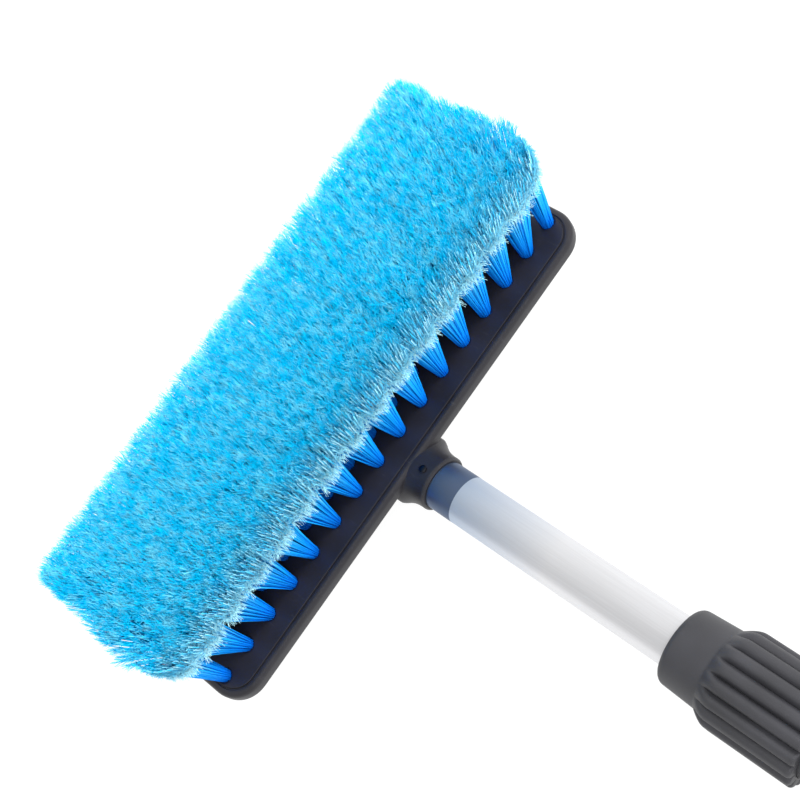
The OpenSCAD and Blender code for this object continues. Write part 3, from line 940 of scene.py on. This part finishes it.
# %% Flagged hair recipe
hair_recipe, given = new_recipe(
    "flagged_ends",
    Radius=0.17 * mm,
    Hairs=8,
    Split=0.8,
    Spread=2.4 * mm,
    Droop=11.0 * mm,
    Seed=7,
    Finish=bristle_blue,
)
tree = hair_recipe
toned = rooted_and_toned(tree, given["Geometry"])
copying = {"Geometry": toned, "Amount": given["Hairs"]}
split = add(tree, "GeometryNodeDuplicateElements", copying, domain="POINT")
sprayed = store(tree, split, "spray", random_vector(tree, given["Seed"], (-1, -1, -0.5), (1, 1, 0.7)))
curves = strands_on(tree, store(tree, sprayed, "luck", random_number(tree, luck_seed), "FLOAT"), 3)
root, run, pull, spray, free = [stored(tree, name) for name in ("root", "run", "pull", "spray", "free")]
luck = stored(tree, "luck", "FLOAT")
along = add(tree, "GeometryNodeSplineParameter").outputs["Factor"]
pulled = outward_pull(tree)
later = calc(tree, "ADD", given["Split"], calc(tree, "MULTIPLY", luck, 0.14))
from_here = calc(tree, "SUBTRACT", later, calc(tree, "MULTIPLY", pulled, 0.24))
reach = graded(tree, along, 0.0, 1.0, from_here, 1.02)
on_line = vector_calc(tree, "ADD", root, scaled(tree, run, reach))
loose = calc(tree, "MULTIPLY", graded(tree, pulled, 0.0, 0.8, 1.0, 0.35), given["Spread"])
opened = calc(tree, "MULTIPLY", calc(tree, "POWER", along, 1.7), loose)
aside = scaled(tree, vector_calc(tree, "MULTIPLY", spray, free), opened)
drooping = calc(tree, "MULTIPLY", given["Droop"], graded(tree, luck, 0.0, 1.0, 0.4, 1.3))
bent = calc(tree, "MULTIPLY", calc(tree, "POWER", along, 2.0), drooping)
downwards = add(tree, "ShaderNodeCombineXYZ", {"Z": calc(tree, "MULTIPLY", pulled, -1.1)})
hanging = scaled(tree, vector_calc(tree, "ADD", scaled(tree, pull, 0.2), downwards), bent)
spot = vector_calc(tree, "ADD", vector_calc(tree, "ADD", on_line, aside), hanging)
# Frayed and painted pale on the handle side: partly real fraying, partly painted light.
fray = calc(tree, "MULTIPLY", graded(tree, pulled, 0.3, 0.75), graded(tree, luck, 0.0, 0.7, 0.25, 1.0))
thin = graded(tree, along, 0.0, 1.0, 1.0, 0.4)
fine = graded(tree, pulled, 0.2, 0.8, 1.0, 0.8)
thickness = calc(tree, "MULTIPLY", calc(tree, "MULTIPLY", thin, fine), given["Radius"])
end_strands(tree, curves, spot, reach, fray, thickness, given["Finish"])
print("hair recipe has", len(tree.nodes), "nodes")

# %% Grow the five rows
for row, node in enumerate(row_names):
    planting = plant_row(row)
    filaments = grow(f"filaments_row_{row + 1}", planting, filament_recipe, Seed=row)
    place(filaments, bristle_blue, "bristle", node)
    hairs = grow(f"flagged_ends_row_{row + 1}", planting, hair_recipe, Seed=row + 50)
    place(hairs, bristle_blue, "bristle", node)

# %% [markdown]
# ## The fringe on the handle side
# The last row hangs over the rim and is seen from the side, where single hairs show. It gets a
# second set of hairs, finer than the first, on the same filaments.

# %% Thicken the fringe
fringe_row = len(row_names) - 1
fringe = grow("fringe_of_fine_hairs", plant_row(fringe_row), hair_recipe, Radius=0.13 * mm, Seed=90)
place(fringe, bristle_blue, "bristle", row_names[fringe_row])

# %% [markdown]
# ## The tubes
# Both tubes are pipes with lightly rounded ends. The inner one is pinned in the socket, and its
# first stretch stands a little proud of the rest and is painted as a band of shade with a painted
# reflection of the blue head.

# %% Make the tubes
wall = 1.2 * mm
lacquer_step = 0.06 * mm
painted_band_end = mouth_x + painted_band_l
inner_tube = turned(
    "inner_tube_drawn",
    [
        (tube_low.x, tube_r - wall, 0.3 * mm),
        (tube_low.x, tube_r, 0.4 * mm),
        (painted_band_end, tube_r, 0),
        (painted_band_end + 0.1 * mm, tube_r - lacquer_step, 0),
        (tube_high.x, tube_r - lacquer_step, 0.4 * mm),
        (tube_high.x, tube_r - wall, 0.3 * mm),
    ],
    128,
)
place(inner_tube, inner_aluminium, "tube_aluminium", "inner_tube")

outer_low, outer_high, outer_r = measured("outer_tube")
outer_tube = turned(
    "outer_tube_drawn",
    [
        (outer_low.x, outer_r - wall, 0.3 * mm),
        (outer_low.x, outer_r, 0.4 * mm),
        (outer_high.x, outer_r, 0.4 * mm),
        (outer_high.x, outer_r - wall, 0.3 * mm),
    ],
    128,
)
place(outer_tube, outer_aluminium, "tube_aluminium", "outer_tube")

# %% [markdown]
# ## The twist lock's collar
# The collar is turned by hand, so its back half has deep ribs, and its nose is smooth. The plain
# outline is turned first. The ribs then follow one rule of angle and length, which a recipe
# applies to every point outside: each rib is a round crest with a narrow groove beside it, and
# the ribs rise out of the nose in a soft ramp.

# %% Collar outline
collar_low, collar_high, collar_r = measured("lock_collar")
sleeve_low, sleeve_high, sleeve_r = measured("threaded_sleeve")
collet_low, _, collet_r = measured("lock_collet")
nose_r = 17.2 * mm
ribbed_x = collar_low.x + 18 * mm
room = 0.3 * mm
tube_room = 0.6 * mm
inside = [
    (collar_high.x, sleeve_r + fit_gap, 0.4 * mm),
    (sleeve_low.x - room, sleeve_r + fit_gap, 0),
    (sleeve_low.x - room, collet_r + room, 0),
    (collet_low.x - room, collet_r + room, 0),
    (collet_low.x - room, tube_r + tube_room, 0),
    (collar_low.x, tube_r + tube_room, 0.5 * mm),
]
shoulder_steps = 12
shoulder_l = 8 * mm
outside = [(collar_low.x, nose_r - 1.0 * mm, 3.2 * mm), (ribbed_x - 1 * mm, nose_r - 0.1 * mm, 0)]
for k in range(shoulder_steps + 1):
    x = ribbed_x + shoulder_l * k / shoulder_steps
    outside.append((x, nose_r + (collar_r - nose_r) * math.sin(math.pi / 2 * k / shoulder_steps), 0))
outside += [(ribbed_x + 20 * mm, collar_r, 0), (ribbed_x + 32 * mm, collar_r, 0)]
outside += [(collar_high.x, collar_r, 1.6 * mm)]
collar_plain = turned("collar_plain", outside + inside, 216, 6)
print("collar is", round((collar_high.x - collar_low.x) / mm), "mm long")

# %% Rib recipe
rib_recipe, given = new_recipe(
    "hand_ribs",
    Ribs=18,
    Depth=2.9 * mm,
    Start=ribbed_x,
    Ramp=7 * mm,
    Least_radius=nose_r,
    Axis_height=axis_z,
    Finish=collar_plastic,
)
tree = rib_recipe
here = add(tree, "ShaderNodeSeparateXYZ", [add(tree, "GeometryNodeInputPosition")])
high = calc(tree, "SUBTRACT", here.outputs["Z"], given["Axis height"])
angle = calc(tree, "ARCTAN2", here.outputs["Y"], high)
wave = calc(tree, "COSINE", calc(tree, "MULTIPLY", angle, calc(tree, "MULTIPLY", given["Ribs"], 0.5)))
groove = calc(tree, "POWER", calc(tree, "SUBTRACT", 1.0, calc(tree, "ABSOLUTE", wave)), 1.6)
ramp_end = calc(tree, "ADD", given["Start"], given["Ramp"])
rise = graded(tree, here.outputs["X"], given["Start"], ramp_end, interpolation_type="SMOOTHSTEP")
from_axis = add(tree, "ShaderNodeCombineXYZ", {"Y": here.outputs["Y"], "Z": high})
radius = vector_calc(tree, "LENGTH", from_axis).outputs["Value"]
outer_side = calc(tree, "GREATER_THAN", radius, given["Least radius"])
cut_here = calc(tree, "MULTIPLY", calc(tree, "MULTIPLY", groove, given["Depth"]), rise)
share = calc(tree, "SUBTRACT", 1.0, calc(tree, "DIVIDE", cut_here, radius))
moved_y = calc(tree, "MULTIPLY", here.outputs["Y"], share)
moved_z = calc(tree, "MULTIPLY_ADD", high, share, given["Axis height"])
moved = add(tree, "ShaderNodeCombineXYZ", {"X": here.outputs["X"], "Y": moved_y, "Z": moved_z})
reshaping = {"Geometry": given["Geometry"], "Selection": outer_side, "Position": moved}
end_recipe(tree, add(tree, "GeometryNodeSetPosition", reshaping), given["Finish"])

collar = grow("twist_collar", collar_plain.data, rib_recipe)
bpy.data.objects.remove(collar_plain)
shade(collar.data, 50)
place(collar, collar_plastic, "collar_plastic", "lock_collar")

# %% [markdown]
# ## The sleeve behind the collar
# The sleeve is pinned to the outer tube and carries the thread that the collar runs on. Only its
# tail shows, with a small round bead at the end.

# %% Make the sleeve
step_down = 0.5 * mm
sleeve = turned(
    "sleeve_with_thread",
    [
        (sleeve_low.x, tube_r + 0.5 * mm, 0.2 * mm),
        (sleeve_low.x, sleeve_r, 0.8 * mm),
        (collar_high.x + 2 * mm, sleeve_r, 0),
        (collar_high.x + 2.4 * mm, sleeve_r - step_down, 0),
        (sleeve_high.x - 3 * mm, sleeve_r - step_down, 0),
        (sleeve_high.x - 2.6 * mm, sleeve_r, 0.3 * mm),
        (sleeve_high.x, sleeve_r, 0.7 * mm),
        (sleeve_high.x, outer_r + fit_gap, 0.3 * mm),
        (outer_low.x, outer_r + fit_gap, 0),
        (outer_low.x, tube_r + 0.5 * mm, 0),
    ],
)
place(sleeve, collar_plastic, "collar_plastic", "threaded_sleeve")

# %% [markdown]
# ## The foam grip and its rings
# The grip is a sleeve of foam pushed on over the tube. It has a row of shallow finger grooves
# and a soft edge at both ends, where the two moulded rings hold it. The rear ring is as large as
# the collar, so the tool lies level.

# %% Make the grip and the rings
grip_low, grip_high, grip_r = measured("grip_sleeve")
grip_l = grip_high.x - grip_low.x
groove_count = 14
groove_depth = 0.55 * mm
stations = 8 * groove_count
edge_l = 4 * mm
grip_outline = [(grip_low.x, outer_r + fit_gap, 0), (grip_low.x, grip_r - 1 * mm, 0.9 * mm)]
for k in range(stations + 1):
    s = k / stations
    dip = groove_depth * (0.5 - 0.5 * math.cos(2 * math.pi * groove_count * s)) ** 3
    grip_outline.append((grip_low.x + edge_l + (grip_l - 2 * edge_l) * s, grip_r - dip, 0))
grip_outline += [(grip_high.x, grip_r - 1 * mm, 0.9 * mm), (grip_high.x, outer_r + fit_gap, 0)]
grip = turned("foam_grip", grip_outline)
place(grip, grip_foam, "grip_foam", "grip_sleeve")

for node, near, far in (("grip_front_ring", 2.4 * mm, 0.8 * mm), ("grip_rear_ring", 2.0 * mm, 2.0 * mm)):
    low, high, r = measured(node)
    middle_x = (low.x + high.x) / 2
    ring = turned(
        node + "_moulded",
        [
            (low.x, outer_r + fit_gap, 0.3 * mm),
            (low.x, r, near),
            (middle_x - 0.7 * mm, r, 0),
            (middle_x, r - 0.6 * mm, 0.2 * mm),
            (middle_x + 0.7 * mm, r, 0),
            (high.x, r, far),
            (high.x, outer_r + fit_gap, 0.3 * mm),
        ],
    )
    place(ring, collar_plastic, "collar_plastic", node)

# %% [markdown]
# ## The scraper's holder
# The holder is a round socket on the tube's end that spreads into a flat jaw for the blade. Its
# sections go from a circle to a flat rounded bar, along one smooth curve. The blade's slot, the
# screws' seats, the pin's hole and shallow flutes on both faces are cut after.


# %% Holder body
def squircle(width, height, power, count=96):
    """Half sizes and a power that goes from 2, an ellipse, to a rounded bar."""
    ring = []
    for i in range(count):
        a = 2 * math.pi * i / count
        c, s = math.cos(a), math.sin(a)
        x = width * math.copysign(abs(c) ** (2 / power), c)
        ring.append(Vector((x, height * math.copysign(abs(s) ** (2 / power), s))))
    return ring


holder_low, holder_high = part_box("scraper_holder")
holder_r = 15.5 * mm
jaw_half_w = holder_high.y
jaw_half_t = 6 * mm
neck_x = outer_high.x + 6 * mm
jaw_x = holder_high.x - 18 * mm
end_round = 1.8 * mm
holder_steps = 44
holder_rings = []
for k in range(holder_steps + 1):
    x = holder_low.x + (holder_high.x - holder_low.x) * k / holder_steps
    s = smoothstep((x - neck_x) / (jaw_x - neck_x))
    w = holder_r + (jaw_half_w - holder_r) * s
    t = holder_r + (jaw_half_t - holder_r) * s
    from_end = min(x - holder_low.x, holder_high.x - x)
    edge = max(0.0, 1 - from_end / end_round) ** 2 * 1.0 * mm
    holder_rings.append([(x, p.x, axis_z + p.y) for p in squircle(w - edge, t - edge, 2 + 5 * s)])
holder = piece_from("scraper_holder_moulded", *loft(holder_rings))
print("holder has", len(holder_rings), "sections")


# %% Cut the holder
def bore(piece, start, direction, depth, radius, **details):
    """Cuts one round hole or seat into a piece."""
    cut_by(piece, piece_from("bore", *drill(start, direction, depth, radius, **details)))


screw_x = holder_high.x - 12 * mm
screw_half_gap = 22 * mm
screw_hole_r = 2.05 * mm
blade_low, blade_high, blade_half_t = measured("scraper_blade")
slot_half_t = blade_half_t + fit_gap
slot = [
    (x, y, axis_z + z)
    for x in (blade_low.x, holder_high.x + 2 * mm)
    for y in (-jaw_half_w - 2 * mm, jaw_half_w + 2 * mm)
    for z in (-slot_half_t, slot_half_t)
]
box_faces = [(0, 1, 3, 2), (4, 6, 7, 5), (0, 4, 5, 1), (2, 3, 7, 6), (0, 2, 6, 4), (1, 5, 7, 3)]
cut_by(holder, piece_from("blade_slot", slot, box_faces))
holder_end = Vector((holder_low.x, 0, axis_z))
bore(holder, holder_end, forward, outer_high.x - holder_low.x, outer_r + fit_gap, sides=96)
pin_x = holder_low.x + 19 * mm
bore(holder, Vector((pin_x, -20 * mm, axis_z)), Vector((0, 1, 0)), 40 * mm, 2.05 * mm, sides=32)
for y in (-screw_half_gap, screw_half_gap):
    above = Vector((screw_x, y, axis_z + jaw_half_t))
    below = Vector((screw_x, y, axis_z - jaw_half_t))
    bore(holder, above, down, 2.2 * mm, 3.8 * mm, chamfer=0.3 * mm, sides=48)
    bore(holder, above, down, 20 * mm, screw_hole_r, sides=32)
    bore(holder, below, up, 2.6 * mm, 4.1 * mm, sides=6)
for face in (-1, 1):
    for side in (-2, -1, 0, 1, 2):
        start = Vector((jaw_x - 12 * mm, side * 9 * mm, axis_z + face * (jaw_half_t + 2.6 * mm)))
        stop_x = holder_high.x - (6 * mm if side == 0 else 20 * mm)
        stop = Vector((stop_x, side * 12.5 * mm, axis_z + face * (jaw_half_t + 0.7 * mm)))
        bore(holder, start, stop - start, (stop - start).length, 1.5 * mm, over=1 * mm, sides=24)
place(holder, holder_plastic, "block_plastic", "scraper_holder")

# %% [markdown]
# ## The blade
# The blade is cut from a clear sheet: a straight root between the jaws and a fan with a ground
# edge. Its outline is short, with arcs at the corners. All its edges are broken by a small
# chamfer, the ground edge is a wedge cut from above, and the hole is for hanging the tool up.

# %% Make the blade
root_half = screw_half_gap + 10 * mm
edge_half = blade_high.y
one_side = [
    (blade_low.x, root_half, 2 * mm),
    (holder_high.x - 1 * mm, root_half, 0.8 * mm),
    (holder_high.x + 8 * mm, jaw_half_w, 6 * mm),
    (blade_high.x - 10 * mm, edge_half, 5 * mm),
    (blade_high.x, edge_half - 3 * mm, 2 * mm),
]
blade_outline = rounded([(x, -y, r) for x, y, r in one_side] + one_side[::-1], 8)
chamfer = 0.35 * mm
centre = Vector(((blade_low.x + blade_high.x) / 2, 0))
blade_rings = []
for z, inset in ((-1, 1), (-1, 0), (1, 0), (1, 1)):
    height = z * (blade_half_t - chamfer * (1 - inset))
    ring = []
    for p in blade_outline:
        away = (p - centre).normalized() * chamfer * inset
        ring.append((p.x - away.x, p.y - away.y, axis_z + height))
    blade_rings.append(ring)
blade = piece_from("scraper_blade_clear", *loft(blade_rings), 20)
wedge_l = 9 * mm
wedge_end_z = 0.6 * mm - blade_half_t
wedge_x = (blade_high.x - wedge_l, blade_high.x + 1 * mm, blade_high.x + 1 * mm)
wedge_z = (blade_half_t, wedge_end_z, 2 * blade_half_t)
wedge = [(x, y, axis_z + z) for y in (-0.1, 0.1) for x, z in zip(wedge_x, wedge_z)]
wedge_faces = [(0, 1, 2), (3, 5, 4), (0, 3, 4, 1), (1, 4, 5, 2), (2, 5, 3, 0)]
cut_by(blade, piece_from("ground_edge", wedge, wedge_faces))
hang_x = holder_high.x + 0.42 * (blade_high.x - holder_high.x)
bore(blade, Vector((hang_x, 0, axis_z + blade_half_t)), down, 5 * mm, 4.5 * mm, sides=48)
for y in (-screw_half_gap, screw_half_gap):
    bore(blade, Vector((screw_x, y, axis_z + blade_half_t)), down, 5 * mm, screw_hole_r, sides=32)
place(blade, blade_clear, "blade_plastic", "scraper_blade")

# %% [markdown]
# ## Fasteners
# Identical fasteners are one small model that a recipe sets on marker points. The markers are
# the source mesh, each with a turn of its own, and the model is an input of the recipe.


# %% Fastener recipe
fastener_recipe, given = new_recipe("set_fasteners", Finish=zinc_steel)
tree = fastener_recipe
tree.interface.new_socket("Model", in_out="INPUT", socket_type="NodeSocketObject")
model = add(tree, "GeometryNodeObjectInfo", {"Object": given["Model"]})
copying = {"Points": given["Geometry"], "Instance": model.outputs["Geometry"], "Rotation": stored(tree, "turn")}
end_recipe(tree, add(tree, "GeometryNodeInstanceOnPoints", copying), given["Finish"])


def fasteners(name, node, model, spots, finish=zinc_steel):
    """Copies of a model, built along +Z at the origin, at (place, turn) spots, that stand for a node."""
    markers = bpy.data.meshes.new(name)
    markers.from_pydata([tuple(spot) for spot, turn in spots], [], [])
    layer = markers.attributes.new("turn", "FLOAT_VECTOR", "POINT")
    layer.data.foreach_set("vector", [c for spot, turn in spots for c in turn])
    result = grow(name, markers, fastener_recipe, Model=model, Finish=finish)
    bpy.data.objects.remove(model)
    shade(result.data)
    place(result, finish, "steel", node)


def spun(name, outline, sides=32):
    """A model turned about Z from (radius, height) points, closed on the axis at both ends."""
    circle = [(math.cos(2 * math.pi * i / sides), math.sin(2 * math.pi * i / sides)) for i in range(sides)]
    return piece_from(name, *loft([[(r * c, r * s, z) for c, s in circle] for r, z in outline]))


def domed(head_r, head_t, shank_r, shank_l, steps=6):
    """Outline of a fastener: a shank below a domed head whose underside is at height 0."""
    dome = []
    for k in range(steps):
        a = math.pi / 2 * k / steps
        dome.append((head_r * math.cos(a), head_t * (0.35 + 0.65 * math.sin(a))))
    return [(shank_r, -shank_l), (shank_r, 0), (head_r, 0)] + dome + [(head_r * 0.06, head_t)]


# %% The rivet and the sleeve's pins
upright, upside_down = (0, 0, 0), (math.pi, 0, 0)
rivet_low, rivet_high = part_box("socket_rivet")
rivet_head_t = 0.9 * mm
rivet_shank_l = rivet_high.z - rivet_low.z - rivet_head_t
rivet = spun("rivet_model", domed(1.7 * mm, rivet_head_t, 1.5 * mm, rivet_shank_l))
rivet_spots = [(Vector((rivet_x, 0, rivet_high.z - rivet_head_t)), upright)]
fasteners("socket_rivet_domed", "socket_rivet", rivet, rivet_spots, black_steel)

pin_low, pin_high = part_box("sleeve_pins")
sleeve_pin_x = (pin_low.x + pin_high.x) / 2
pin = spun("pin_model", domed(2.6 * mm, 0.8 * mm, 1.5 * mm, 4.2 * mm))
pin_spots = [
    (Vector((sleeve_pin_x, 0, axis_z + sleeve_r)), upright),
    (Vector((sleeve_pin_x, 0, axis_z - sleeve_r)), upside_down),
]
fasteners("sleeve_pins_domed", "sleeve_pins", pin, pin_spots)

# %% The blade's screws and nuts, and the holder's cross pin
screw = spun("screw_model", domed(3.6 * mm, 2.0 * mm, 2 * mm, 9.0 * mm))
slot_cut = [(x * mm, y * mm, z * mm) for x in (-0.5, 0.5) for y in (-5, 5) for z in (1.2, 3)]
cross_cut = [(y, x, z) for x, y, z in slot_cut]
cut_by(screw, piece_from("drive_slot", slot_cut, box_faces))
cut_by(screw, piece_from("drive_cross", cross_cut, box_faces))
seat_z = axis_z + jaw_half_t - 2.2 * mm
screw_spots = [(Vector((screw_x, s * screw_half_gap, seat_z)), (0, 0, 0.5 * s)) for s in (-1, 1)]
fasteners("blade_screws_slotted", "blade_screws", screw, screw_spots)

nut = spun("nut_model", [(3.6 * mm, 0), (3.9 * mm, 0.3 * mm), (3.9 * mm, 2.1 * mm), (3.6 * mm, 2.4 * mm)], 6)
cut_by(nut, spun("nut_bore", [(screw_hole_r, -1 * mm), (screw_hole_r, 4 * mm)]))
nut_z = axis_z - jaw_half_t + 0.2 * mm
nut_spots = [(Vector((screw_x, s * screw_half_gap, nut_z)), upright) for s in (-1, 1)]
fasteners("blade_nuts_hex", "blade_nuts", nut, nut_spots)

pin_outline = [(1.6 * mm, -15 * mm), (2 * mm, -14.5 * mm), (2 * mm, 14.5 * mm), (1.6 * mm, 15 * mm)]
cross_pin = spun("cross_pin_model", pin_outline)
cross_spot = [(Vector((pin_x, 0, axis_z)), (math.pi / 2, 0, 0))]
fasteners("holder_pin_steel", "holder_pin", cross_pin, cross_spot)

# %% [markdown]
# ## Pieces that keep their plain shape
# The staples, the collet, the bush and its ring sit inside, and their solids are already right.
# They keep their shape and take a real finish.

# %% Finish the inner pieces
for node, material in {
    "tuft_anchors": zinc_steel,
    "rear_bush": acetal,
    "bush_ring": seal_rubber,
    "lock_collet": acetal,
}.items():
    mesh = frame["nodes"][node].data
    mesh.materials.clear()
    mesh.materials.append(material)
    print(node, "is now", material.name)
